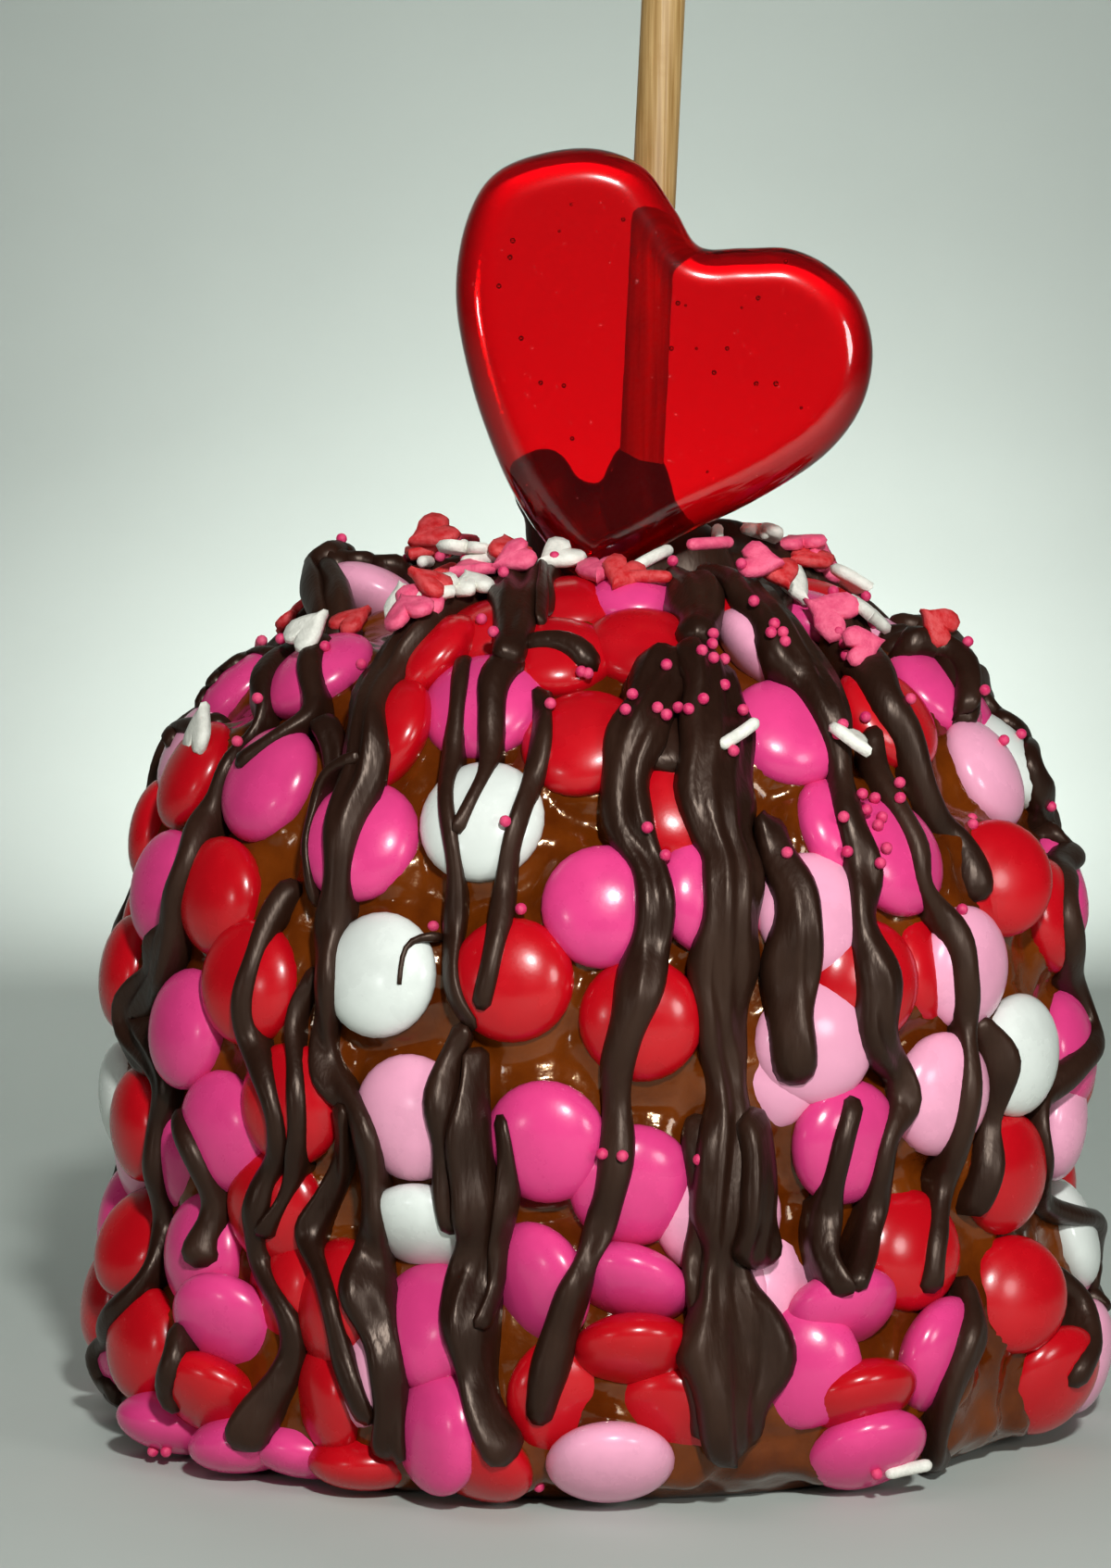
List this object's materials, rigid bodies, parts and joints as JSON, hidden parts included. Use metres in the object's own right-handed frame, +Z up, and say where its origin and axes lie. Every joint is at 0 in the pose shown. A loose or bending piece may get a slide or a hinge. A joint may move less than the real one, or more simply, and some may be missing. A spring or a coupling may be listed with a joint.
{
  "type": "caramel apple",
  "caption": "Caramel apple coated in round candies with dark chocolate drizzle and sprinkles, a clear red candy heart and a wooden stick in its top.",
  "frame": {"origin": "middle of the flat foot that the apple rests on", "axes": "+Z up; -Y is the front, the side that the heart's broad face looks to"},
  "size_m": [0.1165, 0.1188, 0.168],
  "materials": {
    "caramel": "glossy brown caramel",
    "red_candy": "glossy red sugar shell",
    "hot_pink_candy": "glossy hot pink sugar shell",
    "pale_pink_candy": "glossy pale pink sugar shell",
    "white_candy": "glossy white sugar shell",
    "chocolate": "satin dark chocolate",
    "sprinkles": "matt pressed sugar",
    "hard_candy": "clear red boiled sugar",
    "bamboo": "plain bamboo"
  },
  "bodies": {
    "root": {"coated_apple": "caramel", "candy_heart": "hard_candy", "bamboo_stick": "bamboo"}
  },
  "joints": []
}
